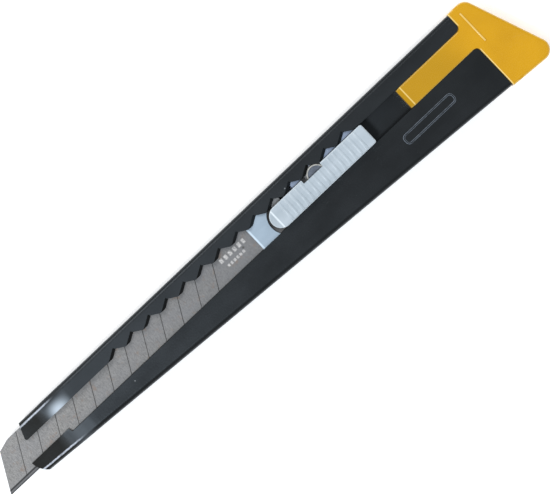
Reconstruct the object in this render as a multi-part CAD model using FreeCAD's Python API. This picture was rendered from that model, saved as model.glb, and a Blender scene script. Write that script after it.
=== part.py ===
import FreeCAD
import Part
import math
import os

# Snap-off knife with a folded sheet-steel sheath, a locking slider and a moulded end cap. Millimetres.
#
# Drawing frame: X runs from the sheath's nose towards the end cap, Y across the knife towards the blade's
# back, Z up through the slotted face. X = 0 is the front of the lower lip, Y = 0 the slot's middle line
# and Z = 0 the outside of the sheath's floor. At the end everything moves so that the origin is the
# bottom centre of the whole knife.

Vector = FreeCAD.Vector

# --- drawing aids: a cutter's overshoot, slack in comparing places, and what makes an edge a long one ---
SPARE = 1.0
TOUCH = 0.01
LONG_EDGE = 1.0

# --- sheath ---
SHEATH_LENGTH = 126.0
SHEET = 0.7
SHEATH_HEIGHT = 5.0
BACK_Y = 6.4
NOSE_EDGE = (1.9, -5.1)
REAR_EDGE_Y = -13.3
FOLD_RADIUS = 1.1
INNER_FOLD_RADIUS = 0.25

# nose, where the lips are pressed down and the floor is pressed up
LIP_DROP = 0.5
LIP_RAMP = (8.8, 15.4)
FLOOR_RISE = 1.5
FLOOR_RAMP = (8.0, 22.5)
RAMP_STEPS = 12
DIMPLE_X = 6.0
DIMPLES_Y = (-1.2, 3.4)
DIMPLE_HEIGHT = 1.04
DIMPLE_BASE_RADIUS = 1.9
DIMPLE_TOP_RADIUS = 0.9

# slot and its notches
SLOT_LOW_Y = -2.55
SLOT_HIGH_Y = 2.6
TAB_LENGTH = 10.45
TAB_EDGE_Y = -1.57
TAB_STEP = 0.25
UPPER_LIP_CORNER = (2.4, 3.1)
UPPER_LIP_INNER_X = 2.55
UPPER_LIP_SLANT_X = 4.1
LOWER_LIP_CURVE = (0.55, -3.4)
FLOOR_SLANT_X = (3.7, 4.1)
NOTCH_COUNT = 14
NOTCH_PITCH = 5.0
FIRST_NOTCH_X = 28.9
NOTCH_APEX_Y = 3.72
NOTCH_FLANK_DEG = 31.0
NOTCH_MOUTH_RADIUS = 0.8
NOTCH_FLARE = 0.6
REAR_CORNER_RADIUS = 1.0

# plain raised frame on the lower lip
FRAME_CENTRE = (108.7, -6.55)
FRAME_SIZE = (14.2, 2.7)
FRAME_LINE = 0.7
FRAME_PROUD = 0.16
FRAME_SLOPE = 0.26
FRAME_CORNER = 0.8

# --- blade ---
BLADE_LENGTH = 80.0
BLADE_WIDTH = 9.0
BLADE_THICKNESS = 0.38
BLADE_TIP_X = -7.7
BLADE_BACK_Y = 5.6
BLADE_ANGLE_DEG = 61.0
BLADE_BEVEL = 0.9
BACK_CORNER = (2.8, 0.8)
SCORE_COUNT = 12
SCORE_PITCH = 5.0
FIRST_SCORE_X = -2.9
SCORE_WIDTH = 0.24
SCORE_DEPTH = 0.07
SCORE_OVERRUN = 0.1
BLADE_HOLE_RADIUS = 1.5
BLADE_HOLE_X = 67.2
TAIL_CORNER = 0.6

# --- heights of the layers inside the sheath ---
HOLDER_TOP_Z = 4.24
HOLDER_THICKNESS = 0.5
LAYER_GAP = 0.02
KEEPER_THICKNESS = 0.6

# --- blade holder ---
HOLDER_FRONT_X = 65.3
HOLDER_REAR_X = 98.0
HOLDER_LOW_Y = -4.4
HOLDER_HIGH_Y = 5.3
WINDOW_HALF_WIDTH = 2.62
WINDOW_ARC = ((70.9, 2.62), (69.5, -0.4), (70.15, -2.62))
SIDE_CUTOUT_X = (71.9, 78.3)
SIDE_CUTOUT_Y = 3.95
HOLDER_CORNER_RADIUS = 0.6
BLADE_STUB_RADIUS = 1.4
BLADE_STUB_REACH = 0.25
PEG_RADIUS = 0.6
PEG_BOTTOM_Z = 1.9
PEGS = ((95.2, 3.95), (95.2, -3.5), (76.4, -3.5))

# --- keeper plate ---
KEEPER_FRONT_X = 72.45
KEEPER_REAR_X = 97.2
KEEPER_LOW_Y = -4.3
KEEPER_HIGH_Y = 4.75
KEEPER_TAB_END_X = 74.85
KEEPER_GAP_Y = 2.2
PEG_CLEARANCE = 0.15

# --- thumb button ---
BUTTON_FRONT_X = 70.1
BUTTON_REAR_X = 97.5
BUTTON_HALF_WIDTH = 2.48
BUTTON_TOP_Z = 7.0
BUTTON_NOSE_BOTTOM_Z = 4.75
BUTTON_EDGE_RADIUS = 0.35
BUTTON_REAR_RADIUS = 0.5
NOSE_BEVEL_LENGTH = 1.5
NOSE_BEVEL_DROP = 0.9
RIB_COUNT = 15
RIB_PITCH = 1.51
FIRST_RIB_X = 74.0
RIB_RADIUS = 1.0
RIB_PROUD = 0.09
RIB_END_INSET = 0.3
STUD_CUTOUT_X = (80.6, 85.9)
STUD_CUTOUT_Y = 1.58
PRESS_TRAVEL = 0.9

# --- lock stud ---
STUD_NOTCH = 11
STUD_Y = 1.18
STUD_RADIUS = 2.13
STUD_TOP_Z = 4.92
STUD_DISH_RADIUS = 1.84
STUD_DISH_DEPTH = 0.15
STUD_SHANK_RADIUS = 0.75
STUD_TAIL_RADIUS = 1.25
STUD_TAIL_HEIGHT = 0.25
STUD_POCKET_CLEARANCE = 0.3

# --- rivets between the keeper plate and the button ---
RIVETS_X = (77.6, 91.4)
RIVET_RADIUS = 0.55
RIVET_HEAD_RADIUS = 1.1
RIVET_HEAD_HEIGHT = 0.35
RIVET_TOP_Z = 5.8

# --- leaf spring ---
SPRING_HALF_LENGTH = 8.5
SPRING_THICKNESS = 0.3
SPRING_Y = (-1.6, 3.2)
SPRING_FOOT_RADIUS = 0.35
SPRING_FLOOR_GAP = 0.03
SPRING_CROWN_GAP = 0.03

# --- end cap ---
CAP_FACE_X = 126.12
CAP_PROUD = 0.25
CAP_BACK_CORNER_X = 130.7
CAP_REAR_X = 138.4
CAP_BACK_Y = 6.6
CAP_EDGE_PROUD = 0.25
CAP_BACK_RADIUS = 2.4
CAP_REAR_RADIUS = 2.4
CAP_EDGE_RADIUS = 0.7
CAP_FACE_RADIUS = 0.22
CAP_OVERLAP = 2.0
TONGUE_FRONT_X = 107.6
TONGUE_HALF_WIDTH = 2.5
TONGUE_CHAMFER = (1.0, 0.6)
TONGUE_EDGE_RADIUS = 0.35
TONGUE_ROOT_RADIUS = 0.9
PLUG_FRONT_X = 108.8
PLUG_GAP = 0.1
PLUG_CORE_LENGTH = 11.0
PLUG_CORE_HEIGHT = 1.6
PLUG_WALL = 1.3
PLUG_CHAMFER = 1.2
RIDGE_X = 128.2
RIDGE_Y = (-2.8, 4.9)
RIDGE_RADIUS = 0.4
RIDGE_PROUD = 0.16

# slit that takes one blade segment to break it off
SLIT_WIDTH = 0.9
SLIT_LENGTH = 10.4
SLIT_DEPTH = 5.6

# pocket clip arm on the back
CLIP_GAP = 1.1
CLIP_THICKNESS = 1.2
CLIP_TIP_X = 90.0
CLIP_ROOT_X = 127.2
CLIP_ROOT_REAR_X = 131.6
CLIP_CENTRE_Y = -3.4
CLIP_ROOT_HALF_WIDTH = 4.2
CLIP_TIP_HALF_WIDTH = 3.0
CLIP_TIP_RADIUS = 2.0
CLIP_BUMP_GAP = 0.15
CLIP_BUMP_X = 94.0
CLIP_BUMP_HALF_LENGTH = 2.2

# --- heights worked out from the ones above ---
HOLDER_BOTTOM_Z = HOLDER_TOP_Z - HOLDER_THICKNESS
BLADE_TOP_Z = HOLDER_BOTTOM_Z - LAYER_GAP
BLADE_BOTTOM_Z = BLADE_TOP_Z - BLADE_THICKNESS
KEEPER_TOP_Z = HOLDER_BOTTOM_Z - LAYER_GAP
KEEPER_BOTTOM_Z = KEEPER_TOP_Z - KEEPER_THICKNESS
LIP_BOTTOM_Z = SHEATH_HEIGHT - SHEET
STUD_X = FIRST_NOTCH_X + STUD_NOTCH * NOTCH_PITCH
EDGE_SLOPE = (REAR_EDGE_Y - NOSE_EDGE[1]) / (SHEATH_LENGTH - NOSE_EDGE[0])
CLIP_OUTER_Z = -CLIP_GAP - CLIP_THICKNESS


def edge_y(x):
    """Y of the sheath's tapered long edge at X."""
    return NOSE_EDGE[1] + EDGE_SLOPE * (x - NOSE_EDGE[0])


def smooth_step(x, start, end):
    """0 before start, 1 after end, with a smooth S between."""
    t = min(max((x - start) / (end - start), 0.0), 1.0)
    return t * t * (3.0 - 2.0 * t)


def lip_z(x):
    """Height of the lips' outer face at X."""
    return SHEATH_HEIGHT - LIP_DROP * (1.0 - smooth_step(x, *LIP_RAMP))


def floor_z(x):
    """Height of the floor's outer face at X."""
    return FLOOR_RISE * (1.0 - smooth_step(x, *FLOOR_RAMP))


def polygon(points, z):
    """Closed wire through (x, y) points at one height."""
    corners = [Vector(x, y, z) for x, y in points]
    return Part.makePolygon(corners + corners[:1])


def prism(wire, height):
    """Solid raised from a closed flat wire along Z."""
    return Part.Face(wire).extrude(Vector(0, 0, height))


def block(x_range, y_range, z_range):
    """Box between pairs of X, Y and Z values."""
    size = [b - a for a, b in (x_range, y_range, z_range)]
    return Part.makeBox(*size, Vector(x_range[0], y_range[0], z_range[0]))


def post(x, y, radius, z_range):
    """Upright cylinder between two heights."""
    return Part.makeCylinder(radius, z_range[1] - z_range[0], Vector(x, y, z_range[0]))


def edges_where(shape, test):
    """The straight or curved edges whose middle point and direction pass a test."""
    chosen = []
    for edge in shape.Edges:
        middle = edge.valueAt((edge.FirstParameter + edge.LastParameter) / 2)
        start = edge.Vertexes[0].Point
        end = edge.Vertexes[-1].Point
        if test(middle, end - start):
            chosen.append(edge)
    return chosen


def rounded_section(x, inset, radius):
    """Upright rounded rectangle of the sheath at X, moved inwards by inset."""
    low_y = edge_y(x) + inset
    high_y = BACK_Y - inset
    low_z = floor_z(x) + inset
    high_z = lip_z(x) - inset
    slant = radius * (1.0 - math.sqrt(0.5))
    corners = (
        (high_y, high_z, -1, -1),
        (low_y, high_z, 1, -1),
        (low_y, low_z, 1, 1),
        (high_y, low_z, -1, 1),
    )
    arcs = []
    for index, (y, z, along_y, along_z) in enumerate(corners):
        beside = Vector(x, y + along_y * radius, z)
        upright = Vector(x, y, z + along_z * radius)
        middle = Vector(x, y + along_y * slant, z + along_z * slant)
        ends = (upright, beside) if index % 2 == 0 else (beside, upright)
        arcs.append((ends[0], middle, ends[1]))
    edges = []
    for index, (start, middle, end) in enumerate(arcs):
        edges.append(Part.Arc(start, middle, end).toShape())
        edges.append(Part.makeLine(end, arcs[(index + 1) % 4][0]))
    return Part.Wire(edges)


def sheath_body(inset, radius, x_start, x_end):
    """Closed tapered body with the nose's ramps, used for the outside and for the hollow."""
    stations = {x_start, x_end}
    for start, end in (LIP_RAMP, FLOOR_RAMP):
        for step in range(RAMP_STEPS + 1):
            stations.add(round(start + (end - start) * step / RAMP_STEPS, 2))
    sections = [rounded_section(x, inset, radius) for x in sorted(stations)]
    return Part.makeLoft(sections, True, True)


def slot_cutter():
    """Prism that opens the slot between the lips, with the notches along its upper edge."""
    bottom = LIP_BOTTOM_Z - LIP_DROP - SHEET
    height = 3 * SHEET + LIP_DROP
    outline = (
        (-SPARE, SLOT_HIGH_Y),
        (-SPARE, TAB_EDGE_Y),
        (TAB_LENGTH, TAB_EDGE_Y),
        (TAB_LENGTH + TAB_STEP, SLOT_LOW_Y),
        (SHEATH_LENGTH + SPARE, SLOT_LOW_Y),
        (SHEATH_LENGTH + SPARE, SLOT_HIGH_Y),
    )
    cutter = prism(polygon(outline, bottom), height)
    depth = NOTCH_APEX_Y - SLOT_HIGH_Y
    half_mouth = depth / math.tan(math.radians(NOTCH_FLANK_DEG))
    for index in range(NOTCH_COUNT):
        x = FIRST_NOTCH_X + index * NOTCH_PITCH
        tooth = (
            (x - half_mouth, SLOT_HIGH_Y),
            (x + half_mouth, SLOT_HIGH_Y),
            (x, NOTCH_APEX_Y),
        )
        cutter = cutter.fuse(prism(polygon(tooth, bottom), height))
    return cutter.removeSplitter()


def flank_slope(x):
    """Wedge that slopes back the front flank of the notch at X, through the sheet's thickness."""
    turn = math.radians(NOTCH_FLANK_DEG)
    into_lip = Vector(-math.sin(turn), math.cos(turn), 0)
    to_mouth = Vector(-math.cos(turn), -math.sin(turn), 0)
    length = (NOTCH_APEX_Y - SLOT_HIGH_Y) / math.sin(turn) + SPARE
    foot = Vector(x, NOTCH_APEX_Y, LIP_BOTTOM_Z)
    rise = Vector(0, 0, SHEET * (1.0 + NOTCH_FLARE))
    outline = [
        foot,
        foot + rise + into_lip * NOTCH_FLARE * (1.0 + NOTCH_FLARE),
        foot + rise - into_lip * SHEET,
        foot - into_lip * SHEET,
    ]
    face = Part.Face(Part.makePolygon(outline + outline[:1]))
    return face.extrude(to_mouth * length)


def lip_front_trim():
    """Prism in front of the two lips: slanted above the slot, gently curved below it."""
    bottom = BLADE_BOTTOM_Z
    low_corner = Vector(0.0, TAB_EDGE_Y, bottom)
    low_middle = Vector(*LOWER_LIP_CURVE, bottom)
    low_end = Vector(*NOSE_EDGE, bottom)
    points = [
        Vector(-SPARE, NOSE_EDGE[1] - SPARE, bottom),
        Vector(-SPARE, BACK_Y + SPARE, bottom),
        Vector(UPPER_LIP_SLANT_X, BACK_Y + SPARE, bottom),
        Vector(*UPPER_LIP_CORNER, bottom),
        Vector(UPPER_LIP_INNER_X, SLOT_HIGH_Y, bottom),
        Vector(0.0, SLOT_HIGH_Y, bottom),
        low_corner,
    ]
    edges = [Part.makeLine(a, b) for a, b in zip(points, points[1:])]
    edges.append(Part.Arc(low_corner, low_middle, low_end).toShape())
    below = Vector(NOSE_EDGE[0], NOSE_EDGE[1] - SPARE, bottom)
    edges.append(Part.makeLine(low_end, below))
    edges.append(Part.makeLine(below, points[0]))
    return prism(Part.Wire(edges), SHEATH_HEIGHT)


def floor_front_trim():
    """Prism in front of the floor, which ends on a slant."""
    outline = (
        (-SPARE, NOSE_EDGE[1] - SPARE),
        (NOSE_EDGE[0], NOSE_EDGE[1] - SPARE),
        NOSE_EDGE,
        (FLOOR_SLANT_X[0], BACK_Y),
        (FLOOR_SLANT_X[1], BACK_Y + SPARE),
        (-SPARE, BACK_Y + SPARE),
    )
    return prism(polygon(outline, -SPARE), BLADE_BOTTOM_Z + SPARE)


def add_dimples(shape):
    """Press two dimples up out of the nose's floor, to carry the blade."""
    inner_floor = FLOOR_RISE + SHEET
    for y in DIMPLES_Y:
        bump = Part.makeCone(
            DIMPLE_BASE_RADIUS,
            DIMPLE_TOP_RADIUS,
            DIMPLE_HEIGHT + SHEET / 2,
            Vector(DIMPLE_X, y, inner_floor - SHEET / 2),
        )
        dent = Part.makeCone(
            DIMPLE_BASE_RADIUS - SHEET / 2,
            DIMPLE_TOP_RADIUS - SHEET / 2,
            DIMPLE_HEIGHT,
            Vector(DIMPLE_X, y, FLOOR_RISE),
        )
        shape = shape.fuse(bump).cut(dent)
    return shape


def rounded_oblong(size, z):
    """Closed wire of an oblong with rounded corners, centred on the raised frame."""
    length, width = size
    x, y = FRAME_CENTRE
    flat = Part.makePlane(length, width, Vector(x - length / 2, y - width / 2, z))
    slab = flat.extrude(Vector(0, 0, SHEET))
    upright = edges_where(slab, lambda middle, along: abs(along.z) > SHEET / 2)
    rounded = slab.makeFillet(width / 2 * FRAME_CORNER, upright)
    bottom = min(rounded.Faces, key=lambda face: face.CenterOfMass.z)
    return bottom.OuterWire


def raised_frame():
    """Plain raised oblong frame with sloped sides, on the lower lip."""
    foot_z = SHEATH_HEIGHT - SHEET / 4
    top_z = SHEATH_HEIGHT + FRAME_PROUD
    spread = 2 * FRAME_SLOPE

    def slab(grow_foot, grow_top):
        foot = rounded_oblong([side + grow_foot for side in FRAME_SIZE], foot_z)
        top = rounded_oblong([side + grow_top for side in FRAME_SIZE], top_z)
        return Part.makeLoft([foot, top], True, True)

    inner = -2 * FRAME_LINE
    return slab(0.0, -spread).cut(slab(inner, inner + spread))


def make_sheath():
    outside = sheath_body(0.0, FOLD_RADIUS, 0.0, SHEATH_LENGTH)
    hollow = sheath_body(SHEET, INNER_FOLD_RADIUS, -SPARE, SHEATH_LENGTH + SPARE)
    shape = outside.cut(hollow)
    shape = shape.cut(slot_cutter())
    shape = shape.cut(lip_front_trim())
    shape = shape.cut(floor_front_trim())

    def is_upright(along):
        return abs(along.z) > SHEET / 2 and math.hypot(along.x, along.y) < TOUCH

    def is_mouth_corner(middle, along):
        in_row = FIRST_NOTCH_X - NOTCH_PITCH < middle.x < SHEATH_LENGTH - NOTCH_PITCH
        return is_upright(along) and in_row and abs(middle.y - SLOT_HIGH_Y) < TOUCH

    def is_rear_corner(middle, along):
        on_slot = min(abs(middle.y - SLOT_HIGH_Y), abs(middle.y - SLOT_LOW_Y)) < TOUCH
        return is_upright(along) and on_slot and abs(middle.x - SHEATH_LENGTH) < TOUCH

    shape = shape.makeFillet(NOTCH_MOUTH_RADIUS, edges_where(shape, is_mouth_corner))
    shape = shape.makeFillet(REAR_CORNER_RADIUS, edges_where(shape, is_rear_corner))
    slopes = [flank_slope(FIRST_NOTCH_X + index * NOTCH_PITCH) for index in range(NOTCH_COUNT)]
    shape = add_dimples(shape.cut(slopes))
    return shape.fuse(raised_frame())


def make_snap_off_blade():
    low_y = BLADE_BACK_Y - BLADE_WIDTH
    middle_z = (BLADE_TOP_Z + BLADE_BOTTOM_Z) / 2
    section = [
        Vector(BLADE_TIP_X, low_y, middle_z),
        Vector(BLADE_TIP_X, low_y + BLADE_BEVEL, BLADE_TOP_Z),
        Vector(BLADE_TIP_X, BLADE_BACK_Y, BLADE_TOP_Z),
        Vector(BLADE_TIP_X, BLADE_BACK_Y, BLADE_BOTTOM_Z),
        Vector(BLADE_TIP_X, low_y + BLADE_BEVEL, BLADE_BOTTOM_Z),
    ]
    strip = Part.Face(Part.makePolygon(section + section[:1])).extrude(Vector(BLADE_LENGTH, 0, 0))
    tail_x = BLADE_TIP_X + BLADE_LENGTH
    lean = 1.0 / math.tan(math.radians(BLADE_ANGLE_DEG))
    shoulder_y = BLADE_BACK_Y - BACK_CORNER[1]
    shoulder_x = BLADE_TIP_X + (shoulder_y - low_y) * lean
    outline = (
        (BLADE_TIP_X, low_y),
        (tail_x - TAIL_CORNER, low_y),
        (tail_x, low_y + TAIL_CORNER),
        (tail_x, BLADE_BACK_Y - TAIL_CORNER),
        (tail_x - TAIL_CORNER, BLADE_BACK_Y),
        (shoulder_x + BACK_CORNER[0], BLADE_BACK_Y),
        (shoulder_x, shoulder_y),
    )
    shape = strip.common(prism(polygon(outline, 0.0), SHEATH_HEIGHT))
    hole_y = BLADE_BACK_Y - BLADE_WIDTH / 2
    shape = shape.cut(post(BLADE_HOLE_X, hole_y, BLADE_HOLE_RADIUS, (0.0, SHEATH_HEIGHT)))
    run = Vector(BLADE_WIDTH * lean, BLADE_WIDTH, 0) * (1.0 + 2.0 * SCORE_OVERRUN)
    for index in range(SCORE_COUNT):
        x = FIRST_SCORE_X + index * SCORE_PITCH
        start = Vector(x, low_y, 0) - run * SCORE_OVERRUN
        groove = [
            start + Vector(-SCORE_WIDTH / 2, 0, BLADE_TOP_Z + TOUCH),
            start + Vector(SCORE_WIDTH / 2, 0, BLADE_TOP_Z + TOUCH),
            start + Vector(0, 0, BLADE_TOP_Z - SCORE_DEPTH),
        ]
        shape = shape.cut(Part.Face(Part.makePolygon(groove + groove[:1])).extrude(run))
    return shape


def make_blade_holder():
    z_range = (HOLDER_BOTTOM_Z, HOLDER_TOP_Z)
    shape = block((HOLDER_FRONT_X, HOLDER_REAR_X), (HOLDER_LOW_Y, HOLDER_HIGH_Y), z_range)
    corners = edges_where(shape, lambda middle, along: abs(along.z) > HOLDER_THICKNESS / 2)
    shape = shape.makeFillet(HOLDER_CORNER_RADIUS, corners)
    below = HOLDER_BOTTOM_Z - SPARE
    through = (below, HOLDER_TOP_Z + SPARE)
    top_corner, arc_middle, low_corner = [Vector(x, y, below) for x, y in WINDOW_ARC]
    rear_low = Vector(HOLDER_REAR_X + SPARE, -WINDOW_HALF_WIDTH, below)
    rear_top = Vector(HOLDER_REAR_X + SPARE, WINDOW_HALF_WIDTH, below)
    window = Part.Wire(
        [
            Part.Arc(top_corner, arc_middle, low_corner).toShape(),
            Part.makeLine(low_corner, rear_low),
            Part.makeLine(rear_low, rear_top),
            Part.makeLine(rear_top, top_corner),
        ]
    )
    shape = shape.cut(prism(window, through[1] - through[0]))
    shape = shape.cut(block(SIDE_CUTOUT_X, (0.0, SIDE_CUTOUT_Y), through))
    stud_clearance = STUD_RADIUS + STUD_POCKET_CLEARANCE
    shape = shape.cut(post(STUD_X, STUD_Y, stud_clearance, through))
    hole_y = BLADE_BACK_Y - BLADE_WIDTH / 2
    stub_bottom = BLADE_BOTTOM_Z - BLADE_STUB_REACH
    shape = shape.fuse(post(BLADE_HOLE_X, hole_y, BLADE_STUB_RADIUS, (stub_bottom, HOLDER_TOP_Z)))
    for x, y in PEGS:
        shape = shape.fuse(post(x, y, PEG_RADIUS, (PEG_BOTTOM_Z, HOLDER_TOP_Z)))
    return shape.removeSplitter()


def make_keeper_plate():
    outline = (
        (KEEPER_FRONT_X, KEEPER_LOW_Y),
        (KEEPER_REAR_X, KEEPER_LOW_Y),
        (KEEPER_REAR_X, KEEPER_HIGH_Y),
        (SIDE_CUTOUT_X[1], KEEPER_HIGH_Y),
        (SIDE_CUTOUT_X[1], KEEPER_GAP_Y),
        (KEEPER_TAB_END_X, KEEPER_GAP_Y),
        (KEEPER_TAB_END_X, KEEPER_HIGH_Y),
        (KEEPER_FRONT_X, KEEPER_HIGH_Y),
    )
    shape = prism(polygon(outline, KEEPER_BOTTOM_Z), KEEPER_THICKNESS)
    through = (KEEPER_BOTTOM_Z - SPARE, KEEPER_TOP_Z + SPARE)
    for x, y in PEGS:
        shape = shape.cut(post(x, y, PEG_RADIUS + PEG_CLEARANCE, through))
    for x in RIVETS_X:
        shape = shape.cut(post(x, 0.0, RIVET_RADIUS, through))
    return shape.cut(post(STUD_X, STUD_Y, STUD_SHANK_RADIUS, through))


def make_lock_stud():
    shape = post(STUD_X, STUD_Y, STUD_RADIUS, (KEEPER_TOP_Z, STUD_TOP_Z))
    dish = post(STUD_X, STUD_Y, STUD_DISH_RADIUS, (STUD_TOP_Z - STUD_DISH_DEPTH, STUD_TOP_Z + SPARE))
    tail_top = KEEPER_BOTTOM_Z - SPRING_THICKNESS - 4 * SPRING_CROWN_GAP
    tail = post(STUD_X, STUD_Y, STUD_TAIL_RADIUS, (tail_top - STUD_TAIL_HEIGHT, tail_top))
    shank = post(STUD_X, STUD_Y, STUD_SHANK_RADIUS, (tail_top, KEEPER_TOP_Z))
    return shape.cut(dish).fuse([shank, tail]).removeSplitter()


def make_keeper_rivets():
    rivets = []
    for x in RIVETS_X:
        head = post(x, 0.0, RIVET_HEAD_RADIUS, (KEEPER_BOTTOM_Z - RIVET_HEAD_HEIGHT, KEEPER_BOTTOM_Z))
        shank = post(x, 0.0, RIVET_RADIUS, (KEEPER_BOTTOM_Z, RIVET_TOP_Z))
        rim = edges_where(head, lambda middle, along: middle.z < KEEPER_BOTTOM_Z - RIVET_HEAD_HEIGHT / 2)
        low_rim = [edge for edge in rim if edge.Closed]
        rivets.append(head.makeFillet(RIVET_HEAD_HEIGHT / 2, low_rim).fuse(shank).removeSplitter())
    return Part.makeCompound(rivets)


def button_outline(z):
    """Slot-wide outline with a half-round nose."""
    nose_x = BUTTON_FRONT_X + BUTTON_HALF_WIDTH
    nose_top = Vector(nose_x, BUTTON_HALF_WIDTH, z)
    nose_low = Vector(nose_x, -BUTTON_HALF_WIDTH, z)
    rear_low = Vector(BUTTON_REAR_X, -BUTTON_HALF_WIDTH, z)
    rear_top = Vector(BUTTON_REAR_X, BUTTON_HALF_WIDTH, z)
    return Part.Wire(
        [
            Part.Arc(nose_top, Vector(BUTTON_FRONT_X, 0, z), nose_low).toShape(),
            Part.makeLine(nose_low, rear_low),
            Part.makeLine(rear_low, rear_top),
            Part.makeLine(rear_top, nose_top),
        ]
    )


def make_thumb_button():
    shape = prism(button_outline(KEEPER_TOP_Z), BUTTON_TOP_Z - KEEPER_TOP_Z)
    rear = edges_where(
        shape, lambda middle, along: abs(along.z) > LONG_EDGE and middle.x > BUTTON_REAR_X - TOUCH
    )
    shape = shape.makeFillet(BUTTON_REAR_RADIUS, rear)
    rise = BUTTON_TOP_Z - NOSE_BEVEL_DROP
    above = BUTTON_TOP_Z + SPARE
    wide = (-2 * BUTTON_HALF_WIDTH, 2 * BUTTON_HALF_WIDTH)
    bevel = (
        (BUTTON_FRONT_X - TOUCH, rise),
        (BUTTON_FRONT_X + NOSE_BEVEL_LENGTH, BUTTON_TOP_Z),
        (BUTTON_FRONT_X + NOSE_BEVEL_LENGTH, above),
        (BUTTON_FRONT_X - TOUCH, above),
    )
    shape = shape.cut(side_profile(bevel, wide))

    def is_rim(middle, along):
        at_end = middle.x > BUTTON_REAR_X - LONG_EDGE or middle.x < BUTTON_FRONT_X + LONG_EDGE
        return middle.z > rise - TOUCH and (abs(along.y) < TOUCH or at_end)

    shape = shape.makeFillet(BUTTON_EDGE_RADIUS, edges_where(shape, is_rim))
    rib_half = BUTTON_HALF_WIDTH - RIB_END_INSET
    for index in range(RIB_COUNT):
        x = FIRST_RIB_X + index * RIB_PITCH
        centre = Vector(x, -rib_half, BUTTON_TOP_Z + RIB_PROUD - RIB_RADIUS)
        rib = Part.makeCylinder(RIB_RADIUS, 2 * rib_half, centre, Vector(0, 1, 0))
        shape = shape.fuse(rib)
    shape = shape.cut(block(STUD_CUTOUT_X, (STUD_CUTOUT_Y, wide[1]), (0.0, above)))
    pocket_top = STUD_TOP_Z + STUD_POCKET_CLEARANCE
    pocket_radius = STUD_RADIUS + STUD_POCKET_CLEARANCE
    shape = shape.cut(post(STUD_X, STUD_Y, pocket_radius, (0.0, pocket_top)))
    nose_room = (BUTTON_FRONT_X - SPARE, KEEPER_FRONT_X)
    shape = shape.cut(block(nose_room, wide, (0.0, BUTTON_NOSE_BOTTOM_Z)))
    for x in RIVETS_X:
        shape = shape.cut(post(x, 0.0, RIVET_RADIUS, (0.0, RIVET_TOP_Z)))
    return shape


def make_leaf_spring():
    foot_z = SHEET + SPRING_FLOOR_GAP + SPRING_FOOT_RADIUS
    crown_z = KEEPER_BOTTOM_Z - SPRING_CROWN_GAP - SPRING_THICKNESS / 2
    rise = crown_z - foot_z
    radius = SPRING_HALF_LENGTH**2 / (2 * rise) + rise / 2
    centre = Vector(STUD_X, SPRING_Y[0], crown_z - radius)
    half_angle = math.asin(SPRING_HALF_LENGTH / radius)

    def on_arch(arch_radius, angle):
        offset = Vector(arch_radius * math.sin(angle), 0, arch_radius * math.cos(angle))
        return centre + offset

    outer = radius + SPRING_THICKNESS / 2
    inner = radius - SPRING_THICKNESS / 2
    outer_points = [on_arch(outer, angle) for angle in (-half_angle, 0, half_angle)]
    inner_points = [on_arch(inner, angle) for angle in (half_angle, 0, -half_angle)]
    arch = Part.Wire(
        [
            Part.Arc(*outer_points).toShape(),
            Part.makeLine(outer_points[-1], inner_points[0]),
            Part.Arc(*inner_points).toShape(),
            Part.makeLine(inner_points[-1], outer_points[0]),
        ]
    )
    width = SPRING_Y[1] - SPRING_Y[0]
    shape = Part.Face(arch).extrude(Vector(0, width, 0))
    for side in (-1, 1):
        foot = Vector(STUD_X + side * SPRING_HALF_LENGTH, SPRING_Y[0], foot_z)
        shape = shape.fuse(Part.makeCylinder(SPRING_FOOT_RADIUS, width, foot, Vector(0, 1, 0)))
    hole = post(STUD_X, STUD_Y, STUD_SHANK_RADIUS + SPRING_CROWN_GAP, (0.0, SHEATH_HEIGHT))
    return shape.cut(hole).removeSplitter()


def cap_outline(z):
    """Outline of the cap behind the sheath, corners still sharp."""
    low_rear_y = edge_y(CAP_REAR_X) - CAP_EDGE_PROUD
    points = (
        (CAP_FACE_X, edge_y(CAP_FACE_X) - CAP_EDGE_PROUD),
        (CAP_REAR_X, low_rear_y),
        (CAP_BACK_CORNER_X, CAP_BACK_Y),
        (CAP_FACE_X, CAP_BACK_Y),
    )
    return polygon(points, z)


def side_profile(points, y_range):
    """Solid with one (x, z) outline, running between two values of Y."""
    corners = [Vector(x, y_range[0], z) for x, z in points]
    face = Part.Face(Part.makePolygon(corners + corners[:1]))
    return face.extrude(Vector(0, y_range[1] - y_range[0], 0))


def make_cap_head():
    """Solid end of the cap, a little proud of the sheath all round."""
    z_range = (-CAP_PROUD, SHEATH_HEIGHT + CAP_PROUD)
    head = prism(cap_outline(z_range[0]), z_range[1] - z_range[0])
    for corner_x, radius in ((CAP_BACK_CORNER_X, CAP_BACK_RADIUS), (CAP_REAR_X, CAP_REAR_RADIUS)):
        corner = edges_where(
            head, lambda middle, along: abs(along.z) > LONG_EDGE and abs(middle.x - corner_x) < TOUCH
        )
        head = head.makeFillet(radius, corner)
    rims = edges_where(
        head, lambda middle, along: abs(along.z) < TOUCH and middle.x > CAP_FACE_X + TOUCH
    )
    head = head.makeFillet(CAP_EDGE_RADIUS, rims)
    face_rim = edges_where(
        head, lambda middle, along: abs(along.y) > LONG_EDGE and middle.x < CAP_FACE_X + TOUCH
    )
    return head.makeFillet(CAP_FACE_RADIUS, face_rim)


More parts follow.
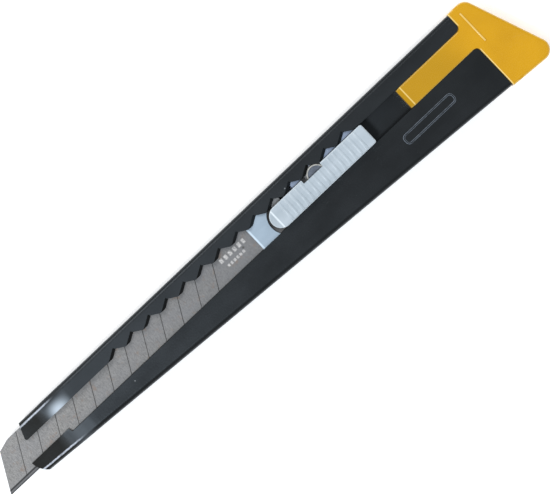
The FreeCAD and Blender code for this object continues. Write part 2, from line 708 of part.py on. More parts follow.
def make_tongue():
    """Tongue that fills the rear of the slot, with a chamfered front and flared root."""
    top = SHEATH_HEIGHT + CAP_PROUD
    bottom = SHEET + PLUG_GAP
    length, drop = TONGUE_CHAMFER
    outline = (
        (TONGUE_FRONT_X, bottom),
        (CAP_FACE_X + CAP_OVERLAP, bottom),
        (CAP_FACE_X + CAP_OVERLAP, top),
        (TONGUE_FRONT_X + length, top),
        (TONGUE_FRONT_X, top - drop),
    )
    shape = side_profile(outline, (-TONGUE_HALF_WIDTH, TONGUE_HALF_WIDTH))

    def is_upper_side(middle, along):
        return middle.z > top - drop - TOUCH and abs(along.y) < TOUCH and abs(along.x) > LONG_EDGE / 2

    shape = shape.makeFillet(TONGUE_EDGE_RADIUS, edges_where(shape, is_upper_side))
    for side in (-1, 1):
        x = CAP_FACE_X
        y = side * TONGUE_HALF_WIDTH
        reach = TONGUE_ROOT_RADIUS
        across = sorted((y - side * SPARE / 2, y + side * reach))
        corner = block((x - reach, x + SPARE), across, (LIP_BOTTOM_Z - SPARE, top))
        round_off = post(x - reach, y + side * reach, reach, (0.0, top + SPARE))
        shape = shape.fuse(corner.cut(round_off))
    return shape


def make_plug():
    """Plug that fills the sheath's rear end, cored out from the front."""
    low_z = SHEET + PLUG_GAP
    high_z = LIP_BOTTOM_Z - PLUG_GAP
    high_y = BACK_Y - SHEET - PLUG_GAP

    def low_y(x):
        return edge_y(x) + SHEET + PLUG_GAP

    rear_x = CAP_FACE_X + CAP_OVERLAP
    chamfer = PLUG_CHAMFER
    outline = (
        (PLUG_FRONT_X, low_y(PLUG_FRONT_X) + chamfer),
        (PLUG_FRONT_X + chamfer, low_y(PLUG_FRONT_X + chamfer)),
        (rear_x, low_y(rear_x)),
        (rear_x, high_y),
        (PLUG_FRONT_X + chamfer, high_y),
        (PLUG_FRONT_X, high_y - chamfer),
    )
    plug = prism(polygon(outline, low_z), high_z - low_z)
    long_edges = edges_where(
        plug, lambda middle, along: abs(along.z) < TOUCH and abs(along.x) > PLUG_CORE_LENGTH
    )
    plug = plug.makeFillet(INNER_FOLD_RADIUS + PLUG_GAP, long_edges)
    core_z = (LIP_BOTTOM_Z + SHEET - PLUG_CORE_HEIGHT) / 2
    core_x = (PLUG_FRONT_X - SPARE, PLUG_FRONT_X + PLUG_CORE_LENGTH)
    pockets = (
        (TONGUE_HALF_WIDTH + PLUG_WALL / 2, high_y - PLUG_WALL),
        (low_y(PLUG_FRONT_X) + PLUG_WALL, -TONGUE_HALF_WIDTH - PLUG_WALL / 2),
    )
    for y_range in pockets:
        plug = plug.cut(block(core_x, y_range, (core_z, core_z + PLUG_CORE_HEIGHT)))
    return plug


def make_clip():
    """Pocket clip arm under the floor, rooted in the cap, with a bump near its flared tip."""
    outer = CLIP_OUTER_Z
    inner = -CLIP_GAP
    bump_front = CLIP_BUMP_X - CLIP_BUMP_HALF_LENGTH
    bump_rear = CLIP_BUMP_X + CLIP_BUMP_HALF_LENGTH
    outline = (
        (CLIP_TIP_X, outer + CLIP_THICKNESS / 2),
        (CLIP_TIP_X + CLIP_THICKNESS / 2, outer),
        (CLIP_ROOT_REAR_X - CLIP_THICKNESS, outer),
        (CLIP_ROOT_REAR_X, outer + CLIP_THICKNESS),
        (CLIP_ROOT_REAR_X, SHEET),
        (CLIP_ROOT_X, SHEET),
        (CLIP_ROOT_X, inner + CLIP_GAP / 2),
        (CLIP_ROOT_X - CLIP_GAP / 2, inner),
        (bump_rear, inner),
        (CLIP_BUMP_X, -CLIP_BUMP_GAP),
        (bump_front, inner),
        (CLIP_TIP_X, inner - CLIP_THICKNESS / 4),
    )
    y_range = (CLIP_CENTRE_Y - CLIP_ROOT_HALF_WIDTH, CLIP_CENTRE_Y + CLIP_ROOT_HALF_WIDTH)
    arm = side_profile(outline, y_range)

    def is_crest(middle, along):
        on_bump = abs(middle.x - CLIP_BUMP_X) < TOUCH and middle.z > inner
        return on_bump and abs(along.y) > LONG_EDGE

    arm = arm.makeFillet(CLIP_BUMP_HALF_LENGTH / 2, edges_where(arm, is_crest))
    plan = (
        (CLIP_TIP_X, CLIP_CENTRE_Y - CLIP_TIP_HALF_WIDTH),
        (CLIP_ROOT_REAR_X + SPARE, y_range[0]),
        (CLIP_ROOT_REAR_X + SPARE, y_range[1]),
        (CLIP_TIP_X, CLIP_CENTRE_Y + CLIP_TIP_HALF_WIDTH),
    )
    taper = prism(polygon(plan, outer - SPARE), SHEATH_HEIGHT)
    tip = edges_where(
        taper, lambda middle, along: abs(along.z) > LONG_EDGE and middle.x < CLIP_TIP_X + TOUCH
    )
    return arm.common(taper.makeFillet(CLIP_TIP_RADIUS, tip))


def slit_cutter():
    """Slab along the cap's slanted rear face, as deep as one blade segment is long."""
    low = Vector(CAP_REAR_X, edge_y(CAP_REAR_X) - CAP_EDGE_PROUD, SHEATH_HEIGHT / 2)
    high = Vector(CAP_BACK_CORNER_X, CAP_BACK_Y, SHEATH_HEIGHT / 2)
    along = (high - low).normalize()
    inward = Vector(-along.y, along.x, 0)
    if inward.x > 0:
        inward = -inward
    middle = (low + high) / 2
    start = middle - along * (SLIT_LENGTH / 2) - inward * SPARE
    corners = [
        start,
        start + along * SLIT_LENGTH,
        start + along * SLIT_LENGTH + inward * (SLIT_DEPTH + SPARE),
        start + inward * (SLIT_DEPTH + SPARE),
    ]
    face = Part.Face(Part.makePolygon(corners + corners[:1]))
    slab = face.extrude(Vector(0, 0, SLIT_WIDTH))
    slab.translate(Vector(0, 0, -SLIT_WIDTH / 2))
    return slab


def make_end_cap():
    top = SHEATH_HEIGHT + CAP_PROUD
    ridge_start = Vector(RIDGE_X, RIDGE_Y[0], top + RIDGE_PROUD - RIDGE_RADIUS)
    ridge = Part.makeCylinder(RIDGE_RADIUS, RIDGE_Y[1] - RIDGE_Y[0], ridge_start, Vector(0, 1, 0))
    shape = make_cap_head().fuse([make_plug(), make_tongue(), make_clip(), ridge])
    return shape.removeSplitter().cut(slit_cutter())


def main():
    pieces = {
        "sheath": make_sheath(),
        "snap_off_blade": make_snap_off_blade(),
        "blade_holder": make_blade_holder(),
        "keeper_plate": make_keeper_plate(),
        "lock_stud": make_lock_stud(),
        "keeper_rivets": make_keeper_rivets(),
        "thumb_button": make_thumb_button(),
        "leaf_spring": make_leaf_spring(),
        "end_cap": make_end_cap(),
    }
    box = Part.makeCompound(list(pieces.values())).optimalBoundingBox(False, False)
    origin = Vector(box.Center.x, box.Center.y, box.ZMin)
    print("origin in the drawing frame", origin)
    os.makedirs("parts", exist_ok=True)
    for name, shape in pieces.items():
        shape.translate(-origin)
        print(name, shape.ShapeType, len(shape.Solids), shape.isValid(), round(shape.Volume, 2))
        shape.exportStep(f"parts/{name}.step")


main()
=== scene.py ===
import math

import bmesh
import bpy
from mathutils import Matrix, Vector
from mathutils.geometry import delaunay_2d_cdt


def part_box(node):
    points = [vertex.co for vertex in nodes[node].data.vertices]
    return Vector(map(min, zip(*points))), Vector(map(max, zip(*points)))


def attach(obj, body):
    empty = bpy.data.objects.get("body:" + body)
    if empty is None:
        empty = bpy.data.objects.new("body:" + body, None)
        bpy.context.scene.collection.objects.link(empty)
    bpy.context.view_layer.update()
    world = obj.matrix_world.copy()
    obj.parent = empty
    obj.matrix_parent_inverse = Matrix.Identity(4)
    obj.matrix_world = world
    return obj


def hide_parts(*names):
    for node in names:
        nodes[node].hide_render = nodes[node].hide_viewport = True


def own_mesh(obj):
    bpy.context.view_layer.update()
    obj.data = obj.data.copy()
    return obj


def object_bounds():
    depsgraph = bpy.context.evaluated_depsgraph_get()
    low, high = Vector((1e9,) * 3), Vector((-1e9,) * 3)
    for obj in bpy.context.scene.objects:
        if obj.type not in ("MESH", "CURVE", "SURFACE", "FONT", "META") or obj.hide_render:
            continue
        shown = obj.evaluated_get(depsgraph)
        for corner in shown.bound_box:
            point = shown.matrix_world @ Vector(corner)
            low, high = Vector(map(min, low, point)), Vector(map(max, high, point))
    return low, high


# Looks of the snap-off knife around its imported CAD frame. Metres, in the frame of the CAD model:
# +X from the blade's tip to the end cap, +Y towards the blade's back, +Z up, the floor at Z = 0.

MM = 0.001

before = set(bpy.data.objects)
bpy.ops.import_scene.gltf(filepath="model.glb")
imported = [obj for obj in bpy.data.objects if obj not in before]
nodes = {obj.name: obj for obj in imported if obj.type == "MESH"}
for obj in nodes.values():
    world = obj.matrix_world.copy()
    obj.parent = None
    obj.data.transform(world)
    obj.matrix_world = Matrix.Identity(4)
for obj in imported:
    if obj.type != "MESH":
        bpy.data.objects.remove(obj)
cad_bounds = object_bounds()


# ---------------------------------------------------------------- places, from the frame
low_stud, high_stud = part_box("lock_stud")
STUD_X = (low_stud.x + high_stud.x) / 2
STUD_Y = (low_stud.y + high_stud.y) / 2
blade_low, blade_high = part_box("snap_off_blade")
sheath_low, sheath_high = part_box("sheath")
cap_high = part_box("end_cap")[1]
spring_low, spring_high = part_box("leaf_spring")
button_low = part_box("thumb_button")[0]
holder_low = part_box("blade_holder")[0]
whole_middle = (Vector(cad_bounds[0]) + Vector(cad_bounds[1])) / 2
NOSE_X = sheath_low.x
# the tapered edge drops 8.2 mm over 124.1 mm, and the folds' shoulders lie this far in from both edges (mm)
EDGE_SLOPE = -8.2 / 124.1
EDGE_START = sheath_low.y - EDGE_SLOPE * sheath_high.x
SHOULDER = 0.9
# the raised frame on the lower lip, with a small margin
FRAME_X = (sheath_high.x - 24.6 * MM, sheath_high.x - 10.0 * MM)
FRAME_Y = (sheath_high.y - 14.5 * MM, sheath_high.y - 11.4 * MM)
SLOT_MIDDLE = sheath_high.y - 6.4 * MM
# the cap's face against the sheath, its ridge behind it and the top of the tongue's slope before it
CAP_FACE = sheath_high.x + 0.12 * MM
RIDGE_AFTER = 2.08 * MM
SLOPE_BEFORE = 17.52 * MM
# where the holder's thin arms beside the button begin
ARMS_X = STUD_X - 11.5 * MM
# the blade's ground bevel and the stud's dish (mm)
BEVEL_WIDTH = 0.9
DISH_RADIUS = 1.84
# the middle of the etched dashes near the blade's tail
MARK_X = blade_high.x - 12.3 * MM
MARK_Y = blade_low.y + 4.4 * MM


# ---------------------------------------------------------------- leaf spring's size
SPRING_THICKNESS = 0.3 * MM
FOOT_RADIUS = 0.2 * MM
FOOT_ROLL = math.radians(215)
SPRING_WAIST = 0.22
OUTLINE_STEPS = 40
HOLE_RADIUS = 0.85 * MM
HOLE_STEPS = 28
HOLE_MARGIN = 1.35


# ---------------------------------------------------------------- node helpers
class Tree:
    """A material's node tree with short calls for the nodes that the finishes share."""

    def __init__(self, name):
        self.material = bpy.data.materials.new(name)
        self.material.use_nodes = True
        self.nodes = self.material.node_tree.nodes
        self.links = self.material.node_tree.links
        self.nodes.clear()
        self.output = self.nodes.new("ShaderNodeOutputMaterial")
        self.shader = self.nodes.new("ShaderNodeBsdfPrincipled")
        self.links.new(self.shader.outputs[0], self.output.inputs["Surface"])
        self.coordinates = self.nodes.new("ShaderNodeTexCoord").outputs["Object"]

    def put(self, value, socket):
        """Set a socket to a plain value, or link another node's output to it."""
        if isinstance(value, bpy.types.NodeSocket):
            self.links.new(value, socket)
        else:
            socket.default_value = value

    def stretched(self, scale, rotation=(0, 0, 0)):
        """Object coordinates in millimetres, turned and then scaled along each axis."""
        mapping = self.nodes.new("ShaderNodeMapping")
        mapping.vector_type = "POINT"
        self.links.new(self.coordinates, mapping.inputs["Vector"])
        mapping.inputs["Rotation"].default_value = rotation
        mapping.inputs["Scale"].default_value = [s / MM for s in scale]
        return mapping.outputs[0]

    def noise(self, vector, scale=1.0, detail=3.0, roughness=0.55, distortion=0.0):
        node = self.nodes.new("ShaderNodeTexNoise")
        self.links.new(vector, node.inputs["Vector"])
        node.inputs["Scale"].default_value = scale
        node.inputs["Detail"].default_value = detail
        node.inputs["Roughness"].default_value = roughness
        node.inputs["Distortion"].default_value = distortion
        return node.outputs["Fac"]

    def cells(self, vector):
        """Distance to the nearest of many scattered points."""
        node = self.nodes.new("ShaderNodeTexVoronoi")
        self.links.new(vector, node.inputs["Vector"])
        node.inputs["Scale"].default_value = 1.0
        return node.outputs["Distance"]

    def math(self, operation, first, second=0.0, clamp=False):
        node = self.nodes.new("ShaderNodeMath")
        node.operation = operation
        node.use_clamp = clamp
        self.put(first, node.inputs[0])
        self.put(second, node.inputs[1])
        return node.outputs[0]

    def remap(self, value, old, new, smooth=False):
        """Map old = (from, to) onto new = (from, to), held at both ends."""
        node = self.nodes.new("ShaderNodeMapRange")
        node.interpolation_type = "SMOOTHSTEP" if smooth else "LINEAR"
        self.put(value, node.inputs["Value"])
        node.inputs["From Min"].default_value = old[0]
        node.inputs["From Max"].default_value = old[1]
        node.inputs["To Min"].default_value = new[0]
        node.inputs["To Max"].default_value = new[1]
        return node.outputs["Result"]

    def mix(self, factor, first, second):
        """Mix two colours, each a triple or a node's output."""
        node = self.nodes.new("ShaderNodeMix")
        node.data_type = "RGBA"
        self.put(factor, node.inputs["Factor"])
        for colour, socket in ((first, node.inputs[6]), (second, node.inputs[7])):
            self.put(colour if isinstance(colour, bpy.types.NodeSocket) else (*colour, 1.0), socket)
        return node.outputs[2]

    def axis(self, name):
        """One object coordinate in millimetres."""
        split = self.nodes.new("ShaderNodeSeparateXYZ")
        self.links.new(self.stretched((1, 1, 1)), split.inputs[0])
        return split.outputs[name]

    def bump(self, height, strength, distance_mm, below=None):
        node = self.nodes.new("ShaderNodeBump")
        node.inputs["Strength"].default_value = strength
        node.inputs["Distance"].default_value = distance_mm * MM
        self.put(height, node.inputs["Height"])
        if below is not None:
            self.links.new(below, node.inputs["Normal"])
        return node.outputs[0]

    def scratches(self, angle, spacing=1.4, length=26.0, share=0.06):
        """Thin, mostly straight marks: bright lines where a stretched noise passes its middle."""
        lines = self.stretched((1 / length, 1 / spacing, 1 / spacing), (0, 0, angle))
        wave = self.noise(lines, 3.0, 1.0, 0.5, 0.3)
        near = self.math("ABSOLUTE", self.math("SUBTRACT", wave, 0.5))
        thin = self.remap(near, (0.0, 0.006), (1.0, 0.0))
        patches = self.noise(self.stretched((0.11, 0.11, 0.11), (0, 0, angle)), 1.0, 2.0)
        return self.math("MULTIPLY", thin, self.remap(patches, (1 - share * 7, 0.75), (0.0, 1.0)))

    def set(self, **values):
        """Set or link the shader's sockets, with _ for a space in the name."""
        for name, value in values.items():
            self.put(value, self.shader.inputs[name.replace("_", " ")])
        return self


# ---------------------------------------------------------------- finishes
def rounded_edge(t, steep=0.3, flat=0.85):
    """1 on the rounded edges between flat faces and upright walls, 0 on both of those."""
    split = t.nodes.new("ShaderNodeSeparateXYZ")
    normal = t.nodes.new("ShaderNodeNewGeometry").outputs["Normal"]
    t.links.new(normal, split.inputs[0])
    upright = t.math("ABSOLUTE", split.outputs["Z"])
    off_wall = t.remap(upright, (0.05, steep), (0.0, 1.0))
    off_flat = t.remap(upright, (flat - 0.12, flat), (1.0, 0.0))
    return t.math("MULTIPLY", off_wall, off_flat)


def within(t, coordinate, start, end, soft=0.1):
    """1 where a coordinate lies between two values, fading out over a short length."""
    above = t.remap(coordinate, (start - soft, start), (0.0, 1.0))
    below = t.remap(coordinate, (end, end + soft), (1.0, 0.0))
    return t.math("MULTIPLY", above, below)


def black_paint():
    """Satin black baked paint with dust, hairlines and dull patches, a browner painted reflection at the
    nose, and painted highlights along the nose's shoulders, on its ramp and on the raised frame's edges.
    """
    t = Tree("black_paint")
    peel = t.noise(t.stretched((2.2, 2.2, 2.2)), 1.0, 3.0, 0.5)
    cloud = t.noise(t.stretched((0.09, 0.16, 0.16)), 1.0, 3.0, 0.6)
    grit = t.noise(t.stretched((9, 9, 9)), 1.0, 2.0, 0.6)
    specks = t.remap(t.cells(t.stretched((0.13, 0.13, 0.13))), (0.012, 0.024), (1.0, 0.0))
    marks = t.math("MAXIMUM", t.scratches(0.12), t.scratches(1.1, 1.8, 12.0, 0.05))
    along = t.axis("X")
    across = t.axis("Y")
    base = t.mix(cloud, (0.0052, 0.0054, 0.0050), (0.0105, 0.0110, 0.0110))
    base = t.mix(t.math("MULTIPLY", marks, 0.3), base, (0.12, 0.125, 0.135))
    base = t.mix(t.math("MULTIPLY", specks, 0.6), base, (0.30, 0.31, 0.32))
    # painted highlight: a pale line along the fold's shoulder at the nose
    upper_line = t.math("SUBTRACT", across, sheath_high.y / MM - SHOULDER)
    lower_edge = t.math("ADD", t.math("MULTIPLY", along, EDGE_SLOPE), EDGE_START / MM + SHOULDER)
    lower_line = t.math("SUBTRACT", across, lower_edge)
    off_line = t.math("MINIMUM", t.math("ABSOLUTE", upper_line), t.math("ABSOLUTE", lower_line))
    off_line = t.math("ADD", off_line, t.remap(peel, (0.3, 0.7), (-0.05, 0.05)))
    nose = NOSE_X / MM
    shoulder_highlight = t.math(
        "MULTIPLY",
        t.remap(off_line, (0.05, 0.26), (1.0, 0.0), True),
        t.remap(along, (nose + 8.5, nose + 13.0), (1.0, 0.0), True),
    )
    # painted reflection: the nose's flat front is painted browner; the same mask lowers the roughness there
    tip_reflection_and_gloss = t.remap(along, (nose + 8.2, nose + 9.8), (1.0, 0.0), True)
    broken = t.remap(t.noise(t.stretched((0.9, 2.5, 2.5)), 1.0, 3.0), (0.32, 0.55), (0.45, 0.95))
    base = t.mix(t.math("MULTIPLY", tip_reflection_and_gloss, 0.75), base, (0.0130, 0.0115, 0.0080))
    base = t.mix(t.math("MULTIPLY", shoulder_highlight, broken), base, (0.60, 0.64, 0.72))
    # painted highlight along the raised frame's edges
    on_frame = t.math(
        "MULTIPLY",
        within(t, along, FRAME_X[0] / MM, FRAME_X[1] / MM),
        within(t, across, FRAME_Y[0] / MM, FRAME_Y[1] / MM),
    )
    frame_highlight = t.math("MULTIPLY", on_frame, rounded_edge(t, 0.3, 0.995))
    base = t.mix(t.math("MULTIPLY", frame_highlight, broken), base, (0.20, 0.23, 0.27))
    # painted highlight: where the nose ramps up, pale blue near the slot's edge beside the blade's back,
    # strongest on the upper lip
    upper_side = t.remap(across, (SLOT_MIDDLE / MM - 2.0, SLOT_MIDDLE / MM + 2.0), (0.0, 1.0))
    ramp_up = t.remap(along, (nose + 8.6, nose + 11.6), (0.0, 1.0), True)
    ramp_down = t.remap(along, (nose + 11.8, nose + 15.6), (1.0, 0.0), True)
    below_back = t.math("SUBTRACT", sheath_high.y / MM, across)
    near_slot = t.remap(below_back, (1.0, 3.6), (0.0, 1.0), True)
    ramp_highlight = t.math("MULTIPLY", t.math("MULTIPLY", ramp_up, ramp_down), near_slot)
    ramp_highlight = t.math("MULTIPLY", ramp_highlight, t.remap(upper_side, (0, 1), (0.05, 0.62)))
    base = t.mix(ramp_highlight, base, (0.78, 0.89, 1.0))
    on_ramp = within(t, along, nose + 10.0, nose + 13.5, 3.0)
    rim_rough = t.remap(upper_side, (0, 1), (0.215, 0.265))
    ramp_rough = t.remap(upper_side, (0, 1), (0.43, 0.45))
    change = t.math("MULTIPLY", on_ramp, t.math("SUBTRACT", ramp_rough, rim_rough))
    rough = t.math("ADD", rim_rough, change)
    rough = t.math("ADD", rough, t.remap(cloud, (0.3, 0.7), (0.0, 0.06)))
    rough = t.math("ADD", rough, t.remap(grit, (0.3, 0.7), (0.0, 0.04)))
    rough = t.math("SUBTRACT", rough, t.math("MULTIPLY", tip_reflection_and_gloss, 0.14))
    surface = t.bump(peel, 0.10, 0.05)
    surface = t.bump(grit, 0.06, 0.01, surface)
    surface = t.bump(marks, 0.2, -0.01, surface)
    t.set(Base_Color=base, Roughness=rough, Normal=surface, IOR=1.5)
    t.set(Specular_Tint=(0.80, 0.90, 1.0, 1.0), Specular_IOR_Level=0.37)
    return t.material


def blade_steel():
    """Ground blade steel: grain across the strip, fine pits, dark spots, brown stains, etched dashes."""
    t = Tree("blade_steel")
    grain = t.noise(t.stretched((4.0, 0.9, 4.0)), 1.0, 4.0, 0.65)
    speckle = t.noise(t.stretched((4.2, 4.2, 4.2)), 1.0, 5.0, 0.8)
    broad = t.noise(t.stretched((0.12, 0.3, 0.3)), 1.0, 2.0)
    stain = t.noise(t.stretched((0.5, 0.5, 0.5)), 1.0, 4.0, 0.7)
    spots = t.remap(t.cells(t.stretched((0.22, 0.22, 0.22))), (0.045, 0.085), (1.0, 0.0))
    tone = t.math("ADD", t.math("MULTIPLY", grain, 0.4), t.math("MULTIPLY", speckle, 0.6))
    base = t.mix(t.remap(tone, (0.40, 0.60), (0, 1)), (0.130, 0.126, 0.120), (0.305, 0.295, 0.283))
    # darker and cooler from the nose back, reaching its full depth 60 mm behind it
    rearward_darkening = t.remap(t.axis("X"), (NOSE_X / MM, NOSE_X / MM + 60.0), (0.0, 0.5))
    base = t.mix(rearward_darkening, base, (0.110, 0.114, 0.122))
    base = t.mix(t.remap(broad, (0.35, 0.65), (0.0, 0.25)), base, (0.19, 0.195, 0.215))
    base = t.mix(t.remap(stain, (0.57, 0.69), (0.0, 0.6)), base, (0.20, 0.145, 0.110))
    base = t.mix(t.math("MULTIPLY", spots, 0.75), base, (0.045, 0.04, 0.035))
    # painted shade: the ground bevel is painted darker, darkest at its upper line and at the very edge
    up_bevel = t.math("SUBTRACT", t.axis("Y"), blade_low.y / MM)
    base = t.mix(within(t, up_bevel, -0.5, BEVEL_WIDTH), base, (0.145, 0.145, 0.148))
    base = t.mix(within(t, up_bevel, BEVEL_WIDTH - 0.25, BEVEL_WIDTH), base, (0.035, 0.035, 0.036))
    base = t.mix(within(t, up_bevel, -0.5, 0.2), base, (0.05, 0.05, 0.052))
    # painted shade on the floor of the score lines
    score_shade = t.remap(t.axis("Z"), (blade_high.z / MM - 0.05, blade_high.z / MM - 0.015), (1.0, 0.0))
    score_shade = t.math("MULTIPLY", score_shade, within(t, up_bevel, BEVEL_WIDTH + 0.15, 20.0))
    base = t.mix(t.math("MULTIPLY", score_shade, 0.7), base, (0.05, 0.05, 0.05))
    # painted shade on the tail, in the gap under the button's nose, darker towards the blade's back
    tail = blade_high.x / MM
    tail_shade = t.remap(t.axis("X"), (tail - 3.9, tail - 3.3), (0.0, 1.0))
    tail_shade = t.math("MULTIPLY", tail_shade, t.remap(up_bevel, (1.0, 3.2), (0.35, 0.97)))
    base = t.mix(tail_shade, base, (0.012, 0.011, 0.010))
    etched = etched_mark(t)
    base = t.mix(t.math("MULTIPLY", etched, 0.8), base, (0.62, 0.60, 0.58))
    rough = t.remap(tone, (0.3, 0.7), (0.46, 0.60))
    surface = t.bump(grain, 0.25, 0.012)
    surface = t.bump(speckle, 0.2, 0.01, surface)
    surface = t.bump(etched, 0.4, -0.01, surface)
    t.set(Base_Color=base, Roughness=rough, Normal=surface, Metallic=0.45)
    return t.material


def etched_mark(t):
    """Two plain rows of short etched dashes near the blade's tail, on its upper face."""
    along = t.math("SUBTRACT", t.axis("X"), MARK_X / MM)
    across = t.math("SUBTRACT", t.axis("Y"), MARK_Y / MM)
    rough_edge = t.noise(t.stretched((3, 3, 3)), 1.0, 2.0)

    def row(offset, half_length, half_height, period, share):
        away = t.math("ABSOLUTE", t.math("SUBTRACT", across, offset))
        tall = t.remap(away, (half_height - 0.08, half_height + 0.08), (1.0, 0.0))
        wide = t.remap(t.math("ABSOLUTE", along), (half_length - 0.1, half_length), (1.0, 0.0))
        wave = t.math("PINGPONG", t.math("ADD", along, 40.0), period)
        dash = t.remap(wave, (period * share, period * share + 0.12), (1.0, 0.0))
        return t.math("MULTIPLY", t.math("MULTIPLY", tall, wide), dash)

    rows = t.math("MAXIMUM", row(0.75, 3.7, 0.5, 0.62, 0.5), row(-0.95, 2.5, 0.3, 0.42, 0.5))
    return t.math("MULTIPLY", rows, t.remap(rough_edge, (0.35, 0.6), (0.3, 1.0)))


def slider_plastic(name, shade, pale_line, rear_shade=1.0):
    """Pale blue-white moulding with soft sheen, faint flow marks, painted highlights on its rounded edges
    and handling dirt.

    shade darkens all of it as painted shade, pale_line is the X range of a painted highlight line, and
    rear_shade paints more shade on the thin arms beside the button, which lie under the lips."""
    t = Tree(name)
    flow = t.noise(t.stretched((0.1, 0.35, 0.35)), 1.0, 3.0, 0.5, 0.6)
    fine = t.noise(t.stretched((3.5, 3.5, 3.5)), 1.0, 3.0)
    dirt = t.noise(t.stretched((0.8, 1.1, 1.1)), 1.0, 5.0, 0.7)
    # shade scales every colour: painted shade for a copy of the moulding that lies lower, under the lips
    light, deep, grimy, bright = [
        tuple(c * s for c, s in zip(colour, shade))
        for colour in ((0.456, 0.519, 0.570), (0.392, 0.454, 0.502), (0.31, 0.33, 0.34), (0.82, 0.89, 0.93))
    ]
    base = t.mix(t.remap(flow, (0.35, 0.65), (0, 1)), deep, light)
    base = t.mix(t.remap(dirt, (0.58, 0.8), (0.0, 0.3)), base, grimy)
    # painted highlight on the rounded edges
    base = t.mix(t.math("MULTIPLY", rounded_edge(t), 0.45), base, bright)
    along = t.axis("X")
    # painted highlight line across pale_line's X range
    crest_highlight = within(t, along, *[x / MM for x in pale_line], 0.12)
    base = t.mix(t.math("MULTIPLY", crest_highlight, 0.75), base, bright)
    # painted shade on the thin arms beside the button, under the lips
    if rear_shade < 1.0:
        arms = within(t, along, ARMS_X / MM, ARMS_X / MM + 40.0, 1.2)
        thin = tuple(c * rear_shade * s for c, s in zip((0.40, 0.45, 0.56), shade))
        base = t.mix(arms, base, thin)
    rough = t.remap(fine, (0.3, 0.7), (0.30, 0.42))
    surface = t.bump(fine, 0.12, 0.012)
    t.set(Base_Color=base, Roughness=rough, Normal=surface, IOR=1.5)
    return t.material


def yellow_plastic():
    """Warm yellow moulding: spark-eroded skin, slow colour drift, small scuffs."""
    t = Tree("yellow_plastic")
    skin = t.noise(t.stretched((4.5, 4.5, 4.5)), 1.0, 3.0, 0.6)
    drift = t.noise(t.stretched((0.14, 0.14, 0.14)), 1.0, 3.0, 0.55)
    scuff = t.math("MAXIMUM", t.scratches(0.7, 1.6, 9.0, 0.05), t.scratches(-0.5, 1.6, 12.0, 0.05))
    base = t.mix(t.remap(drift, (0.3, 0.7), (0, 1)), (0.590, 0.290, 0.001), (0.665, 0.335, 0.002))
    base = t.mix(t.remap(skin, (0.35, 0.7), (0.0, 0.25)), base, (0.74, 0.42, 0.01))
    # painted shade on the tongue between the lips, fading out towards the cap
    along = t.axis("X")
    tongue_shade = t.remap(along, (CAP_FACE / MM - 9.0, CAP_FACE / MM + 1.0), (0.7, 0.0), True)
    base = t.mix(tongue_shade, base, (0.455, 0.245, 0.002))
    # painted highlights on crisp edges: at the face against the sheath, atop the tongue's slope and on the
    # ridge
    edge = t.math("MULTIPLY", rounded_edge(t), 0.35)
    height = t.axis("Z")
    ridge_x = (CAP_FACE + RIDGE_AFTER) / MM
    off_ridge = t.math("SUBTRACT", 1.0, within(t, along, ridge_x - 0.5, ridge_x + 0.5))
    crest = t.remap(height, (cap_high.z / MM - 0.07, cap_high.z / MM - 0.02), (0.0, 0.5))
    edge = t.math("MAXIMUM", t.math("MULTIPLY", edge, off_ridge), crest)
    slope_x = (CAP_FACE - SLOPE_BEFORE) / MM
    on_top = t.remap(height, (sheath_high.z / MM - 0.9, sheath_high.z / MM - 0.7), (0.0, 0.7))
    slope_top = t.math("MULTIPLY", within(t, along, slope_x - 0.08, slope_x + 0.08), on_top)
    face = within(t, along, CAP_FACE / MM - 0.1, CAP_FACE / MM + 0.16, 0.15)
    from_tongue = t.math("ABSOLUTE", t.math("SUBTRACT", t.axis("Y"), SLOT_MIDDLE / MM))
    face = t.math("MULTIPLY", face, t.remap(from_tongue, (3.1, 3.5), (0.0, 1.0)))
    face = t.math("MULTIPLY", face, on_top)
    pale = t.math("MAXIMUM", t.math("MAXIMUM", edge, slope_top), face)
    base = t.mix(pale, base, (0.95, 0.72, 0.26))
    base = t.mix(t.math("MULTIPLY", scuff, 0.3), base, (0.85, 0.62, 0.25))
    rough = t.remap(skin, (0.3, 0.7), (0.22, 0.32))
    surface = t.bump(skin, 0.22, 0.02)
    surface = t.bump(scuff, 0.3, -0.01, surface)
    t.set(Base_Color=base, Roughness=rough, Normal=surface, IOR=1.42)
    return t.material


def pressed_steel(name, dark, bright, rough):
    """Rolled and stamped steel with a long grain and a few stains."""
    t = Tree(name)
    grain = t.noise(t.stretched((0.5, 6.0, 6.0)), 1.0, 4.0, 0.6)
    stain = t.noise(t.stretched((0.3, 0.3, 0.3)), 1.0, 4.0, 0.6)
    base = t.mix(t.remap(grain, (0.3, 0.7), (0, 1)), dark, bright)
    base = t.mix(t.remap(stain, (0.55, 0.8), (0.0, 0.5)), base, tuple(c * 0.6 for c in dark))
    surface = t.bump(grain, 0.2, 0.01)
    t.set(Base_Color=base, Roughness=t.remap(grain, (0.3, 0.7), (rough, rough + 0.12)), Normal=surface)
    t.set(Metallic=0.85)
    return t.material


